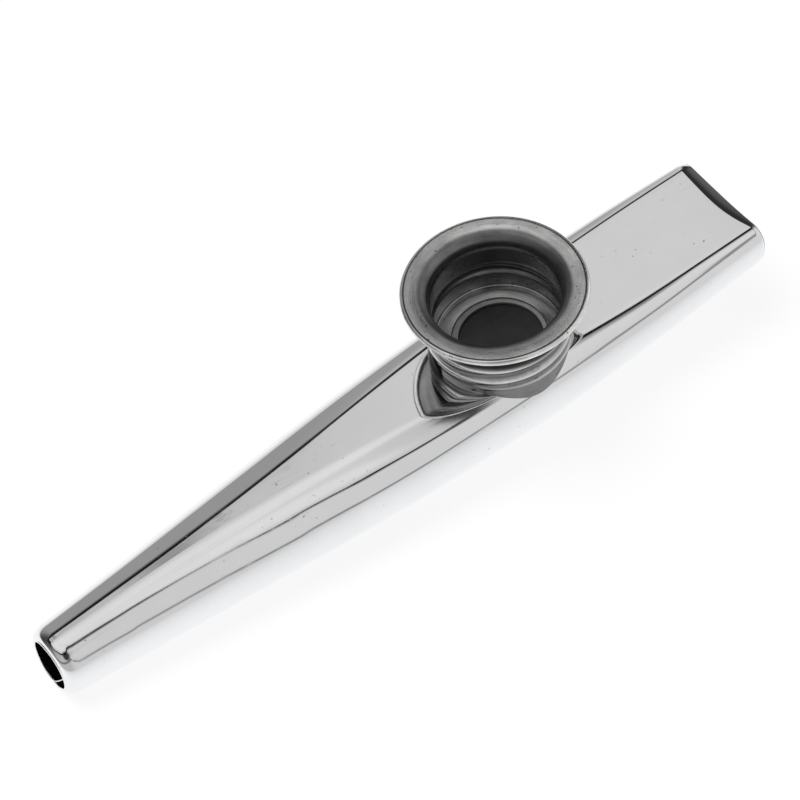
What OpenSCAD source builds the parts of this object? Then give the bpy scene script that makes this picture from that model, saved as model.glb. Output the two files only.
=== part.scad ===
// Kazoo of pressed sheet metal with a screw cap over a film disc.
// Millimetres, +Z up. The origin is on the plane the body rests on, below the middle of its length.
// +X runs along the body towards the wide mouth, -X towards the narrow end.
// The body is one folded sheet: each cross-section is an open loop, and its two edges meet in the
// seam below.
// The collar and the cap carry the same rolled thread, so one thin wall follows the other with a gap.

/* [Body sheet] */
// Length of the body from the narrow end to the wide mouth
body_len = 120; // [108:1:132]
// Share of the body length from the narrow end to the turret axis
turret_share = 0.661; // [0.65:0.001:0.67]
// Largest outer width of the body
body_w = 21.8; // [21.4:0.1:24]
// Height of the flat top panel above the plane the body rests on
panel_h = 15; // [14:0.25:16.5]
// Thickness of the body sheet
sheet_t = 0.4; // [0.3:0.05:0.5]
// Width of the hairline between the two edges of the seam
seam_gap = 0.16; // [0.1:0.02:0.3]
// Extra opening of the seam at the very ends, where the edges part
seam_flare = 0.5; // [0:0.1:0.8]
// Length of the turned-in lip at the narrow end
narrow_lip_len = 2; // [1.6:0.1:3]
// How far the lip at the narrow end is turned in
narrow_lip_in = 0.95; // [0.5:0.05:1.2]
// Length of the turned-in lip at the wide mouth, at its sides
mouth_lip_len = 1.2; // [0.8:0.1:1.8]
// Extra length of that lip in the middle of the panel
mouth_lip_more = 1; // [0:0.1:1.5]
// How far the lip at the wide mouth is turned in
mouth_lip_in = 0.9; // [0.5:0.05:1.2]

/* [Turret collar] */
// How far the thread crests of the collar stay inside the widest outline of the body
collar_side_gap = 0.28; // [0.2:0.02:0.5]
// Height of the collar above the top panel
collar_h = 8.8; // [8.2:0.1:9]
// Thickness of the collar sheet
collar_t = 0.35; // [0.3:0.05:0.4]
// How far the collar skirt reaches below the top panel
skirt_depth = 3.4; // [3.2:0.1:3.8]
// Thickness of the folded double wall of the skirt
skirt_t = 0.8; // [0.7:0.05:1]
// Width of the seat turned in from the collar wall
seat_w = 2.97; // [2.6:0.01:3.3]
// Thickness of the collar seat
seat_t = 0.4; // [0.3:0.05:0.5]

/* [Screw cap] */
// Outer diameter of the cap rim
rim_d = 27.15; // [26.6:0.05:28.2]
// Height of the rim above the top panel
rim_h = 11.3; // [11:0.1:11.6]
// Thickness of the cap sheet
cap_t = 0.35; // [0.3:0.05:0.4]
// Radius of the rolled bead round the rim
bead_r = 0.45; // [0.4:0.05:0.5]
// Width of the flat face of the rim
rim_flat_w = 1.66; // [1.4:0.02:1.8]
// Height of the flared throat under the rim
flare_h = 1.9; // [1.7:0.1:2.1]
// Depth of the flat ledge at the bottom of the cap, below the rim
ledge_depth = 10.49; // [10.4:0.01:10.6]
// Width of the ledge turned in from the cap wall
ledge_w = 2.4; // [2.2:0.05:2.7]
// Radius of the bend between the cap wall and the ledge
ledge_bend_r = 0.55; // [0.45:0.05:0.6]

/* [Thread] */
// Rise of the rolled thread over the cap wall
thread_depth = 0.5; // [0.4:0.05:0.6]
// Pitch of the thread
thread_pitch = 2.35; // [2.2:0.05:2.5]
// Radial gap between the cap thread and the collar thread
thread_gap = 0.12; // [0.08:0.01:0.16]

/* [Film and ring] */
// Thickness of the film disc
film_t = 0.1; // [0.08:0.01:0.14]
// Clearance of the film disc in the collar
film_clear = 0.47; // [0.3:0.01:0.8]
// Thickness of the pressure ring
ring_t = 0.6; // [0.5:0.05:0.7]
// Width of the pressure ring
ring_w = 2.64; // [2.4:0.02:2.9]
// Clearance of the pressure ring in the collar
ring_clear = 0.97; // [0.8:0.01:1.2]
// Edge rounding of the pressure ring
ring_edge_r = 0.15; // [0.1:0.01:0.2]
// How far the loose ring lies off the turret axis
ring_shift = 0.2; // [0:0.05:0.4]

/* [Fineness] */
// Points round one turn of a thread wall
turn_points = 48; // [36:4:60]
// Steps per pitch along a thread wall
pitch_steps = 6; // [5:1:8]
// Facets round the exact circles
circle_points = 96; // [72:12:120]
// Straight pieces in each rounded corner of a body section
corner_steps = 7; // [5:1:9]
// Stations along the body between its lips
body_steps = 22; // [18:1:28]
// Stations in each lip
lip_steps = 4; // [3:1:5]

/* [View] */
// Node to draw

/* [Hidden] */

// Stations of the body as shares of its length
station_shares = [0, 0.16, 0.33, 0.495, turret_share, 0.72, 0.78, 0.88, 1];
// Half-widths at the stations, as shares of half the body width
width_shares = [0.477, 0.628, 0.801, 0.939, 0.997, 1, 0.998, 0.974, 0.896];
// Half-widths of the flat top, as shares of half the body width
flat_shares = [0.032, 0.045, 0.154, 0.343, 0.55, 0.605, 0.64, 0.67, 0.674];
// Heights of the top, as shares of the panel height
top_shares = [0.685, 0.821, 0.935, 1, 1, 1, 1.008, 1.044, 1.075];
// Heights of the underside, as shares of the panel height
belly_shares = [0, 0, 0, 0, 0, 0.065, 0.18, 0.37, 0.525];
// Half-widths of the flat underside, as shares of half the body width
belly_flat_shares = [0.08, 0.108, 0.143, 0.197, 0.24, 0.28, 0.37, 0.54, 0.65];

// Where the turret axis stands on the body
turret_x = (turret_share - 0.5) * body_len;

// Heights of the screw cap and of what it holds down
rim_top = panel_h + rim_h;
ledge_top = rim_top - ledge_depth;
ledge_low = ledge_top - cap_t;
film_top = ledge_low - ring_t;
seat_top = film_top - film_t;
seat_low = seat_top - seat_t;
collar_top = panel_h + collar_h;
skirt_low = panel_h - skirt_depth;

// Radii of the collar, from the width of the body inwards
collar_out_r = body_w / 2 - collar_side_gap - thread_depth;
collar_in_r = collar_out_r - collar_t;
skirt_in_r = collar_out_r - skirt_t;
seat_hole_r = collar_in_r - seat_w;

// Radii of the cap wall where the thread is lowest, of its middle, and of its ledge
cap_core_r = collar_in_r - thread_gap;
cap_core_in_r = cap_core_r - cap_t;
cap_wall_r = cap_core_r + thread_depth / 2;
cap_throat_r = cap_wall_r - cap_t;
ledge_hole_r = cap_core_in_r - ledge_w;

// Radii of the film and of the ring in the collar
film_r = collar_in_r - film_clear;
ring_out_r = collar_in_r - ring_clear;
ring_in_r = ring_out_r - ring_w;

// Height over which a thread rises from the plain wall, as a share of the pitch
fade_share = 0.45;
thread_fade = thread_pitch * fade_share;
// Plain wall of the collar above its seat, and of the cap above that, as shares of the pitch
collar_plain_share = 0.33;
cap_plain_share = 1;
collar_plain_top = seat_top + thread_pitch * collar_plain_share;
cap_plain_top = collar_plain_top + thread_pitch * cap_plain_share;
// The cap carries one turn of thread. It fades out from this many pitches above its plain foot
cap_turn_share = 0.9;
cap_turn_end = cap_plain_top + thread_pitch * cap_turn_share;
// Above that the wall is plain to just above the collar, where it widens to the flare
cap_wall_top = collar_top + thread_gap;
flare_low = rim_top - flare_h;

// How deep a thread wall is let into the plain wall it grows out of, and how much thinner each of
// its sides is there, so that its corners stay inside the round wall
tongue_share = 0.08;
tongue = thread_pitch * tongue_share;
tongue_in = thread_gap / 2;

// The rim
bead_centre_r = rim_d / 2 - bead_r;
rim_flat_out_r = bead_centre_r - bead_r / 2;
rim_flat_in_r = rim_flat_out_r - rim_flat_w;
// Groove turned into the rim beside the bead, as shares of the flat face and of the sheet
groove_w_share = 0.12;
groove_depth_share = 0.25;
groove_w = rim_flat_w * groove_w_share;
groove_depth = cap_t * groove_depth_share;

// Margin by which a cutting shape runs past what it cuts
over = sheet_t;

// Slope of a smooth curve through table values at knot i, zero at the table's highs and lows
function knot_slope(xs, ys, i) =
    i == 0 || i == len(xs) - 1 ? end_slope(xs, ys, i) : mid_slope(
        (ys[i] - ys[i - 1]) / (xs[i] - xs[i - 1]),
        (ys[i + 1] - ys[i]) / (xs[i + 1] - xs[i]));
function mid_slope(a, b) = a * b <= 0 ? 0 : 2 * a * b / (a + b);
function end_slope(xs, ys, i) =
    let (j = i == 0 ? 0 : i - 1)
    (ys[j + 1] - ys[j]) / (xs[j + 1] - xs[j]);

// Interval of the table that holds s
function span_of(xs, s, i = 0) =
    i >= len(xs) - 2 || s < xs[i + 1] ? i : span_of(xs, s, i + 1);

// Value at s of the smooth curve through a table
function along(xs, ys, s) =
    let (
        i = span_of(xs, s),
        h = xs[i + 1] - xs[i],
        t = (s - xs[i]) / h,
        m0 = knot_slope(xs, ys, i) * h,
        m1 = knot_slope(xs, ys, i + 1) * h)
    ys[i] * (2 * t ^ 3 - 3 * t ^ 2 + 1) + m0 * (t ^ 3 - 2 * t ^ 2 + t)
    + ys[i + 1] * (3 * t ^ 2 - 2 * t ^ 3) + m1 * (t ^ 3 - t ^ 2);

// Shares of the body length at which sections are laid
narrow_lip_share = narrow_lip_len / body_len;
mouth_lip_share = (mouth_lip_len + mouth_lip_more) / body_len;
plain_body_share = 1 - narrow_lip_share - mouth_lip_share;
section_shares = concat(
    [for (i = [0 : lip_steps - 1]) narrow_lip_share * (1 - cos(90 * i / lip_steps))],
    [for (i = [0 : body_steps]) narrow_lip_share + plain_body_share * i / body_steps],
    [for (i = [1 : lip_steps]) 1 - mouth_lip_share * (1 - sin(90 * i / lip_steps))]);

// How far the sheet is turned in at share s of the length. The mouth lip is longest in mid-panel,
// and mid says how near a point is to it: 0 at the side, 1 in the middle. A lip is a quarter ellipse.
function mouth_len_share(mid) = (mouth_lip_len + mouth_lip_more * mid) / body_len;
function lip_rise(from_end, lip) =
    from_end >= lip ? 0 : 1 - sqrt(1 - (1 - from_end / lip) ^ 2);
function lip_in(s, mid) =
    narrow_lip_in * lip_rise(s, narrow_lip_share)
    + mouth_lip_in * lip_rise(1 - s, mouth_len_share(mid));

// Half width of the seam opening at share s of the length
function seam_half(s) =
    (seam_gap + seam_flare * (lip_rise(s, narrow_lip_share) + lip_rise(1 - s, mouth_lip_share))) / 2;

// How near the edge of a flat and the point between it and the middle are to the middle of the lip
panel_edge_share = 0.6;
between_lip_share = 0.9;
// Where that point lies on the flat
between_share = 0.5;

// Points of the right half of a section, from the seam edge below round the side to the middle
// of the top. inset is how far the outline lies inside the outer face of the sheet.
function half_section(s, inset) =
    let (
        half_w = body_w / 2,
        flat = half_w * along(station_shares, flat_shares, s),
        belly_flat = half_w * along(station_shares, belly_flat_shares, s),
        wide = half_w * along(station_shares, width_shares, s),
        top = panel_h * along(station_shares, top_shares, s),
        low = panel_h * along(station_shares, belly_shares, s),
        shoulder = min(wide - flat, (top - low) / 2),
        mid_z = top - shoulder,
        side_in = inset + lip_in(s, 0),
        mid_in = inset + lip_in(s, 1),
        edge_in = inset + lip_in(s, panel_edge_share))
    concat(
        [[seam_half(s), low + mid_in], [belly_flat * between_share, low + edge_in]],
        [for (i = [0 : corner_steps])
            let (a = 90 * i / corner_steps, in = edge_in + (side_in - edge_in) * sin(a))
            [belly_flat + (wide - belly_flat - in) * sin(a), mid_z - (mid_z - low - in) * cos(a)]],
        [for (i = [1 : corner_steps])
            let (a = 90 * i / corner_steps, in = side_in + (edge_in - side_in) * sin(a))
            [flat + (wide - flat - in) * cos(a), mid_z + (shoulder - in) * sin(a)]],
        [[flat * between_share, top - inset - lip_in(s, between_lip_share)]],
        [[0, top - mid_in]]);

// One whole outline of the sheet from one seam edge round to the other
function outline(s, inset) =
    let (half = half_section(s, inset), n = len(half))
    concat(half, [for (i = [1 : n - 1]) [-half[n - 1 - i].x, half[n - 1 - i].y]]);

// Outer outline and then the inner one backwards: the closed loop of the sheet's own thickness
function sheet_loop(s) =
    let (inner = outline(s, sheet_t), n = len(inner))
    concat(outline(s, 0), [for (i = [1 : n]) inner[n - i]]);

// Faces of a skin over rings of m points each, wound the same way, n rings in all
function skin(m, n) = [
    for (i = [0 : n - 2], j = [0 : m - 1], k = [0, 1])
        let (a = i * m + j, b = i * m + (j + 1) % m, c = a + m, d = b + m)
        k == 0 ? [a, b, d] : [a, d, c]];

// Faces that close a ring of a sheet loop, first is the index of the ring's first point
function end_strip(first, m, flip) = [
    for (j = [0 : m / 2 - 2], k = [0, 1])
        let (
            a = first + j,
            b = first + j + 1,
            c = first + m - 2 - j,
            d = first + m - 1 - j)
        flip ? (k == 0 ? [a, c, b] : [a, d, c]) : (k == 0 ? [a, b, c] : [a, c, d])];

// The body sheet, before the hole for the collar is cut
module folded_sheet() {
    loops = [for (s = section_shares) sheet_loop(s)];
    m = len(loops[0]);
    n = len(loops);
    points = [
        for (i = [0 : n - 1], p = loops[i])
            [(section_shares[i] - 0.5) * body_len, p.x, p.y]];
    faces = concat(skin(m, n), end_strip(0, m, true), end_strip((n - 1) * m, m, false));
    polyhedron(points, faces, convexity = 8);
}

// The folded sheet with the round hole that takes the collar
module body_shell() {
    color("silver")
        difference() {
            folded_sheet();
            translate([turret_x, 0, skirt_low - over])
                cylinder(r = collar_out_r, h = panel_h - skirt_low + 2 * over, $fn = circle_points);
        }
}

// Share of the full thread rise at height z above a plain wall
function thread_share(z, plain_top) = max(0, min(1, (z - plain_top) / thread_fade));

// Rise of the thread at angle a and height z. The crest climbs one pitch in a turn.
function thread_rise(a, z) = thread_depth * (1 + cos(360 * z / thread_pitch - a)) / 2;

// Rising heights from low to high in steps of the thread
function thread_levels(low, high) =
    let (n = ceil((high - low) * pitch_steps / thread_pitch))
    [for (i = [0 : n]) low + (high - low) * i / n];

// A thin threaded wall. levels are its heights, outer and inner its plain radii at each of them,
// and shares the share of the thread rise at each.
module threaded_wall(levels, outer, inner, shares) {
    n = len(levels);
    points = [
        for (side = [0, 1], i = [0 : n - 1], j = [0 : turn_points - 1])
            let (
                a = 360 * j / turn_points,
                k = side == 0 ? i : n - 1 - i,
                r = (side == 0 ? outer[k] : inner[k]) + shares[k] * thread_rise(a, levels[k]))
            [r * cos(a), r * sin(a), levels[k]]];
    m = turn_points;
    rings = 2 * n;
    faces = [
        for (i = [0 : rings - 1], j = [0 : m - 1], k = [0, 1])
            let (
                a = i * m + j,
                b = i * m + (j + 1) % m,
                c = ((i + 1) % rings) * m + j,
                d = ((i + 1) % rings) * m + (j + 1) % m)
            k == 0 ? [a, c, d] : [a, d, b]];
    polyhedron(points, faces, convexity = 8);
}

// Profile of the collar below its thread: plain wall, folded skirt and turned-in seat
module collar_base_profile() {
    polygon([
        [collar_out_r, skirt_low],
        [collar_out_r, collar_plain_top],
        [collar_in_r, collar_plain_top],
        [collar_in_r, seat_top],
        [seat_hole_r, seat_top],
        [seat_hole_r, seat_low],
        [skirt_in_r, seat_low],
        [skirt_in_r, skirt_low]]);
}

// The collar: folded skirt through the hole in the body, seat for the film and threaded wall
module turret_collar() {
    levels = concat(
        [collar_plain_top - tongue],
        thread_levels(collar_plain_top, collar_top));
    n = len(levels);
    outer = [for (i = [0 : n - 1]) collar_out_r - (i < 2 ? tongue_in : 0)];
    inner = [for (i = [0 : n - 1]) collar_in_r + (i < 2 ? tongue_in : 0)];
    color("lightgray")
        translate([turret_x, 0, 0]) {
            rotate_extrude($fn = circle_points) collar_base_profile();
            threaded_wall(levels, outer, inner, [for (z = levels) thread_share(z, collar_plain_top)]);
        }
}

// Profile of the foot of the cap: the wall bent in to a flat ledge
module cap_foot_profile() {
    bend_c = [cap_core_r - ledge_bend_r, ledge_low + ledge_bend_r];
    bend_in_r = ledge_bend_r - cap_t;
    difference() {
        union() {
            translate([ledge_hole_r, ledge_low])
                square([bend_c.x - ledge_hole_r, cap_t]);
            translate([bend_c.x, ledge_low])
                square([ledge_bend_r, cap_plain_top - ledge_low]);
        }
        translate([bend_c.x, ledge_low - over])
            square([ledge_bend_r + over, ledge_bend_r + over]);
        translate([bend_c.x - over, bend_c.y])
            square([bend_in_r + over, cap_plain_top]);
    }
    intersection() {
        translate([bend_c.x, ledge_low])
            square([ledge_bend_r, ledge_bend_r]);
        translate(bend_c)
            difference() {
                circle(r = ledge_bend_r, $fn = circle_points);
                circle(r = bend_in_r, $fn = circle_points);
            }
    }
}

// Profile of the head of the cap: flared throat, flat brushed rim and rolled bead
module cap_head_profile() {
    flare_w = rim_flat_in_r - cap_throat_r;
    points_in = [
        for (i = [0 : corner_steps + 1])
            let (a = 90 * i / (corner_steps + 1))
            [cap_throat_r + flare_w * (1 - cos(a)), flare_low + flare_h * sin(a)]];
    points_out = [
        for (i = [0 : corner_steps + 1])
            let (a = 90 * (1 - i / (corner_steps + 1)))
            [cap_wall_r + flare_w * (1 - cos(a)), flare_low + (flare_h - cap_t) * sin(a)]];
    difference() {
        union() {
            polygon(concat(
                points_in,
                [[bead_centre_r, rim_top], [bead_centre_r, rim_top - cap_t]],
                points_out));
            translate([bead_centre_r, rim_top - bead_r])
                circle(r = bead_r, $fn = circle_points);
        }
        translate([rim_flat_out_r, rim_top - groove_depth])
            square([groove_w, groove_depth + over]);
    }
}

// The screw cap: head and foot are turned, the wall between them carries one turn of thread
module screw_cap() {
    levels = concat(
        [cap_plain_top - tongue],
        thread_levels(cap_plain_top, cap_wall_top),
        [flare_low - tongue, flare_low, flare_low + tongue]);
    n = len(levels);
    // At the foot and at the head the wall is thinner, and at the head it stands on the middle radius
    outer = [
        for (i = [0 : n - 1])
            i < 2 ? cap_core_r - tongue_in
            : i >= n - 2 ? cap_wall_r - tongue_in
            : i == n - 3 ? cap_wall_r
            : cap_core_r];
    inner = [
        for (i = [0 : n - 1])
            i < 2 ? cap_core_in_r + tongue_in
            : i >= n - 2 ? cap_throat_r + tongue_in
            : i == n - 3 ? cap_throat_r
            : cap_core_in_r];
    shares = [
        for (i = [0 : n - 1])
            i >= n - 3 ? 0
            : min(thread_share(levels[i], cap_plain_top), 1 - thread_share(levels[i], cap_turn_end))];
    color("gray")
        translate([turret_x, 0, 0]) {
            rotate_extrude($fn = circle_points) cap_foot_profile();
            rotate_extrude($fn = circle_points) cap_head_profile();
            threaded_wall(levels, outer, inner, shares);
        }
}

// Rounded box between two corners of a profile
module rounded_profile(low, high, r) {
    translate([low.x + r, low.y])
        square([high.x - low.x - 2 * r, high.y - low.y]);
    translate([low.x, low.y + r])
        square([high.x - low.x, high.y - low.y - 2 * r]);
    for (x = [low.x + r, high.x - r], y = [low.y + r, high.y - r])
        translate([x, y])
            circle(r = r, $fn = circle_points / 4);
}

// The loose ring that the cap presses on the film
module pressure_ring() {
    color("whitesmoke")
        translate([turret_x + ring_shift, 0, 0])
            rotate_extrude($fn = circle_points)
                rounded_profile([ring_in_r, film_top], [ring_out_r, ledge_low], ring_edge_r);
}

// The film disc that buzzes
module membrane() {
    color("dimgray")
        translate([turret_x, 0, seat_top])
            cylinder(r = film_r, h = film_t, $fn = circle_points);
}

body_shell();
turret_collar();
screw_cap();
pressure_ring();
membrane();
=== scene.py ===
"""Looks of a kazoo pressed from sheet metal, with a screw cap over a film disc.

The solids come packed from the CAD model. Each class here builds the finer shape of one
of them in the same frame, gives it its finish and hands it to the body that it rides on.
"""

import logging
import math
from abc import ABC, abstractmethod
from dataclasses import dataclass, field
from enum import Enum

import bpy
import numpy as np
from mathutils import Matrix, Vector


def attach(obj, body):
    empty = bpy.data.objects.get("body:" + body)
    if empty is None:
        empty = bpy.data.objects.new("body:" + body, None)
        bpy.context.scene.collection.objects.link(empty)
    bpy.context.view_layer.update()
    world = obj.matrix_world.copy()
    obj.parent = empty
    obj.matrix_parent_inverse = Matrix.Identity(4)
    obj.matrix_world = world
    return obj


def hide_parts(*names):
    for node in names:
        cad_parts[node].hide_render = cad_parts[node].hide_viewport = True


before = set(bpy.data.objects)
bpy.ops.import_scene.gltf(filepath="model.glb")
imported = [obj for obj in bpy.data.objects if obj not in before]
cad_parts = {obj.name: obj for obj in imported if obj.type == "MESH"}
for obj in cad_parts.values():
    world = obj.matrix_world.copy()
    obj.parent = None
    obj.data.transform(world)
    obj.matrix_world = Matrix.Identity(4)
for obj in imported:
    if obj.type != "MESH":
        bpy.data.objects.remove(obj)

LOG = logging.getLogger("kazoo")
MM = 0.001
Socket = bpy.types.NodeSocket
Points = np.ndarray
Band = tuple[float, float]
Knots = tuple[Band, ...]
Colour = tuple[float, float, float, float]
# Angles in degrees past which an edge stays sharp
SHEET_SHARP = 38.0
TURNED_SHARP = 50.0


class Rider(Enum):
    """Bodies of the instrument that a piece can ride on."""

    BODY = "body"
    RING = "ring"
    CAP = "cap"


class Slot(Enum):
    """Material slots of the record."""

    BODY_METAL = "body_metal"
    CAP_METAL = "cap_metal"
    RING = "ring_plastic"
    FILM = "film"


# node helpers


class Graph:
    """Writes nodes into one tree with short calls.

    Args:
        tree: The node tree that is filled.
    """

    def __init__(self, tree: bpy.types.NodeTree) -> None:
        """Keeps the tree and empties it."""
        self.tree = tree
        tree.nodes.clear()

    def node(self, kind: str, **props: object) -> bpy.types.Node:
        """Adds a node.

        Args:
            kind: The node's type name.
            **props: Properties to set on it.

        Returns:
            The new node.
        """
        made = self.tree.nodes.new(kind)
        for name, value in props.items():
            setattr(made, name, value)
        return made

    def put(self, value: object, socket: Socket) -> None:
        """Links a socket, or sets a plain value, on an input.

        Args:
            value: An output socket or a constant.
            socket: The input that takes it.
        """
        if isinstance(value, bpy.types.NodeSocket):
            self.tree.links.new(value, socket)
        elif value is not None:
            socket.default_value = value

    def math(self, operation: str, first: object, second: object = None, third: object = None,
             clamp: bool = False) -> Socket:
        """Adds one Math node.

        Args:
            operation: The node's operation.
            first: First value.
            second: Second value.
            third: Third value.
            clamp: Whether the result is kept between 0 and 1.

        Returns:
            The result socket.
        """
        made = self.node("ShaderNodeMath", operation=operation, use_clamp=clamp)
        for value, socket in zip((first, second, third), made.inputs):
            self.put(value, socket)
        return made.outputs[0]

    def vector(self, operation: str, first: object, second: object = None, scale: object = None) -> Socket:
        """Adds one Vector Math node.

        Args:
            operation: The node's operation.
            first: First vector.
            second: Second vector.
            scale: The scale of a SCALE node.

        Returns:
            The result socket.
        """
        made = self.node("ShaderNodeVectorMath", operation=operation)
        for value, socket in zip((first, second, None, scale), made.inputs):
            self.put(value, socket)
        return made.outputs["Value" if operation in ("LENGTH", "DOT_PRODUCT") else "Vector"]

    def split(self, vector: Socket) -> tuple[Socket, Socket, Socket]:
        """Splits a vector into its three parts.

        Args:
            vector: The vector.

        Returns:
            The sockets of its x, y and z.
        """
        made = self.node("ShaderNodeSeparateXYZ")
        self.put(vector, made.inputs[0])
        return made.outputs[0], made.outputs[1], made.outputs[2]

    def join(self, x: object, y: object, z: object) -> Socket:
        """Joins three values into a vector.

        Args:
            x: First part.
            y: Second part.
            z: Third part.

        Returns:
            The vector socket.
        """
        made = self.node("ShaderNodeCombineXYZ")
        for value, socket in zip((x, y, z), made.inputs):
            self.put(value, socket)
        return made.outputs[0]

    def step(self, value: Socket, low: float, high: float, to_low: float = 0.0,
             to_high: float = 1.0) -> Socket:
        """Maps a value smoothly from one range to another.

        Args:
            value: The value.
            low: Where the change starts.
            high: Where the change ends.
            to_low: Result before the change.
            to_high: Result after the change.

        Returns:
            The result socket.
        """
        made = self.node("ShaderNodeMapRange", interpolation_type="SMOOTHSTEP")
        self.put(value, made.inputs["Value"])
        for name, number in (("From Min", low), ("From Max", high), ("To Min", to_low), ("To Max", to_high)):
            made.inputs[name].default_value = number
        return made.outputs["Result"]

    def between(self, share: object, start: object, end: object) -> Socket:
        """Runs straight from a start to an end as a share goes from 0 to 1."""
        return self.math("MULTIPLY_ADD", share, self.math("SUBTRACT", end, start), start)

    def curve(self, value: Socket, knots: Knots) -> Socket:
        """Runs a value along straight stretches between knots, level before and after them.

        Args:
            value: The value.
            knots: Pairs of input and output, in rising order.

        Returns:
            The result socket.
        """
        total: object = knots[0][1]
        slope = 0.0
        for index, (x, y) in enumerate(knots):
            following = 0.0
            if index < len(knots) - 1:
                next_x, next_y = knots[index + 1]
                following = (next_y - y) / (next_x - x)
            if abs(following - slope) > 1e-9:
                past = self.math("MAXIMUM", self.math("SUBTRACT", value, x), 0.0)
                total = self.math("MULTIPLY_ADD", past, following - slope, total)
            slope = following
        return total

    def noise(self, vector: Socket, scale: float, detail: float, rough: float) -> Socket:
        """Adds a noise texture.

        Args:
            vector: The place that it is read at.
            scale: How fine it is.
            detail: How many finer layers it has.
            rough: How strong the finer layers are.

        Returns:
            The socket of its value.
        """
        made = self.node("ShaderNodeTexNoise")
        self.put(vector, made.inputs["Vector"])
        made.inputs["Scale"].default_value = scale
        made.inputs["Detail"].default_value = detail
        made.inputs["Roughness"].default_value = rough
        return made.outputs[0]

    def mix(self, share: object, first: object, second: object) -> Socket:
        """Mixes two colours.

        Args:
            share: Share of the second colour, 0 to 1.
            first: First colour.
            second: Second colour.

        Returns:
            The colour socket.
        """
        made = self.node("ShaderNodeMix", data_type="RGBA")
        self.put(share, made.inputs["Factor"])
        self.put(first, made.inputs[6])
        self.put(second, made.inputs[7])
        return made.outputs[2]

    def grey(self, value: Socket) -> Socket:
        """Makes a grey colour of a value.

        Args:
            value: How light it is.

        Returns:
            The colour socket.
        """
        made = self.node("ShaderNodeCombineColor")
        for socket in made.inputs[:3]:
            self.put(value, socket)
        return made.outputs[0]

    def bump(self, height: Socket, strength: float, distance: float, normal: Socket | None = None) -> Socket:
        """Turns a height into a normal.

        Args:
            height: The height, 0 to 1.
            strength: How strong the relief is.
            distance: The height's real size in metres.
            normal: A normal that it is laid on.

        Returns:
            The normal socket.
        """
        made = self.node("ShaderNodeBump")
        made.inputs["Strength"].default_value = strength
        made.inputs["Distance"].default_value = distance
        self.put(height, made.inputs["Height"])
        if normal is not None:
            self.put(normal, made.inputs["Normal"])
        return made.outputs[0]


# sizes


@dataclass(frozen=True)
class ShareTable:
    """A smooth curve along the body, given by shares at a few stations."""

    stations: tuple[float, ...]
    values: tuple[float, ...]
    ease: float = 0.055
    margin: float = 0.4
    samples: int = 3601

    def at(self, shares: Points) -> Points:
        """Reads the curve.

        Args:
            shares: Shares of the body length.

        Returns:
            The values there.
        """
        fine = np.linspace(-self.margin, 1 + self.margin, self.samples)
        step = fine[1] - fine[0]
        reach = int(4 * self.ease / step)
        bell = np.exp(-0.5 * (np.arange(-reach, reach + 1) * step / self.ease) ** 2)
        eased = np.convolve(self.joined(fine), bell / bell.sum(), "same")
        return np.interp(shares, fine, eased)

    def joined(self, fine: Points) -> Points:
        """Joins the stations by cubic stretches without overshoot, and goes on straight past the ends.

        Args:
            fine: Closely set shares of the body length.

        Returns:
            The values there, before they are eased.
        """
        places, levels = np.array(self.stations), np.array(self.values)
        gaps = np.diff(places)
        rates = np.diff(levels) / gaps
        before, after = rates[:-1], rates[1:]
        total = np.where(before + after == 0, 1, before + after)
        middle = np.where(before * after > 0, 2 * before * after / total, 0)
        slopes = np.concatenate(([rates[0]], middle, [rates[-1]]))
        inside = np.clip(fine, 0, 1)
        last = np.clip(np.searchsorted(places, inside, "right") - 1, 0, len(gaps) - 1)
        part = (inside - places[last]) / gaps[last]
        values = levels[last] * (2 * part**3 - 3 * part**2 + 1)
        values += slopes[last] * gaps[last] * (part**3 - 2 * part**2 + part)
        values += levels[last + 1] * (3 * part**2 - 2 * part**3)
        values += slopes[last + 1] * gaps[last] * (part**3 - part**2)
        values += np.where(fine < 0, fine * rates[0], 0)
        return values + np.where(fine > 1, (fine - 1) * rates[-1], 0)


STATIONS = (0, 0.16, 0.33, 0.495, 0.661, 0.72, 0.78, 0.88, 1)


@dataclass(frozen=True)
class TurretSizes:
    """Sizes that collar, cap, ring and film share."""

    axis_x: float = 19.32 * MM
    panel: float = 15.0 * MM
    collar_out_r: float = 10.12 * MM
    collar_wall: float = 0.35 * MM
    thread_gap: float = 0.12 * MM
    cap_wall: float = 0.35 * MM
    thread_depth: float = 0.5 * MM
    thread_pitch: float = 2.35 * MM
    fade_share: float = 0.45
    rim_top: float = 26.3 * MM
    ledge_depth: float = 10.49 * MM
    ring_thick: float = 0.6 * MM
    film_thick: float = 0.1 * MM
    seat_thick: float = 0.4 * MM

    @property
    def ledge_top(self) -> float:
        """Height of the ledge's upper face."""
        return self.rim_top - self.ledge_depth

    @property
    def ledge_low(self) -> float:
        """Height of the ledge's lower face."""
        return self.ledge_top - self.cap_wall

    @property
    def film_top(self) -> float:
        """Height of the film's upper face."""
        return self.ledge_low - self.ring_thick

    @property
    def seat_top(self) -> float:
        """Height of the collar's seat."""
        return self.film_top - self.film_thick

    @property
    def collar_in_r(self) -> float:
        """Plain inner radius of the collar."""
        return self.collar_out_r - self.collar_wall

    @property
    def core_r(self) -> float:
        """Plain outer radius of the cap wall."""
        return self.collar_in_r - self.thread_gap

    def started(self, z: float, start: float) -> float:
        """Share of the full thread at a height above the place where it starts."""
        return fade(z, start, self.thread_pitch * self.fade_share)


# mesh helpers


def fade(z: float, start: float, length: float) -> float:
    """Rises smoothly from 0 to 1 over a length above a start."""
    part = min(1.0, max(0.0, (z - start) / length))
    return part * part * (3 - 2 * part)


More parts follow.
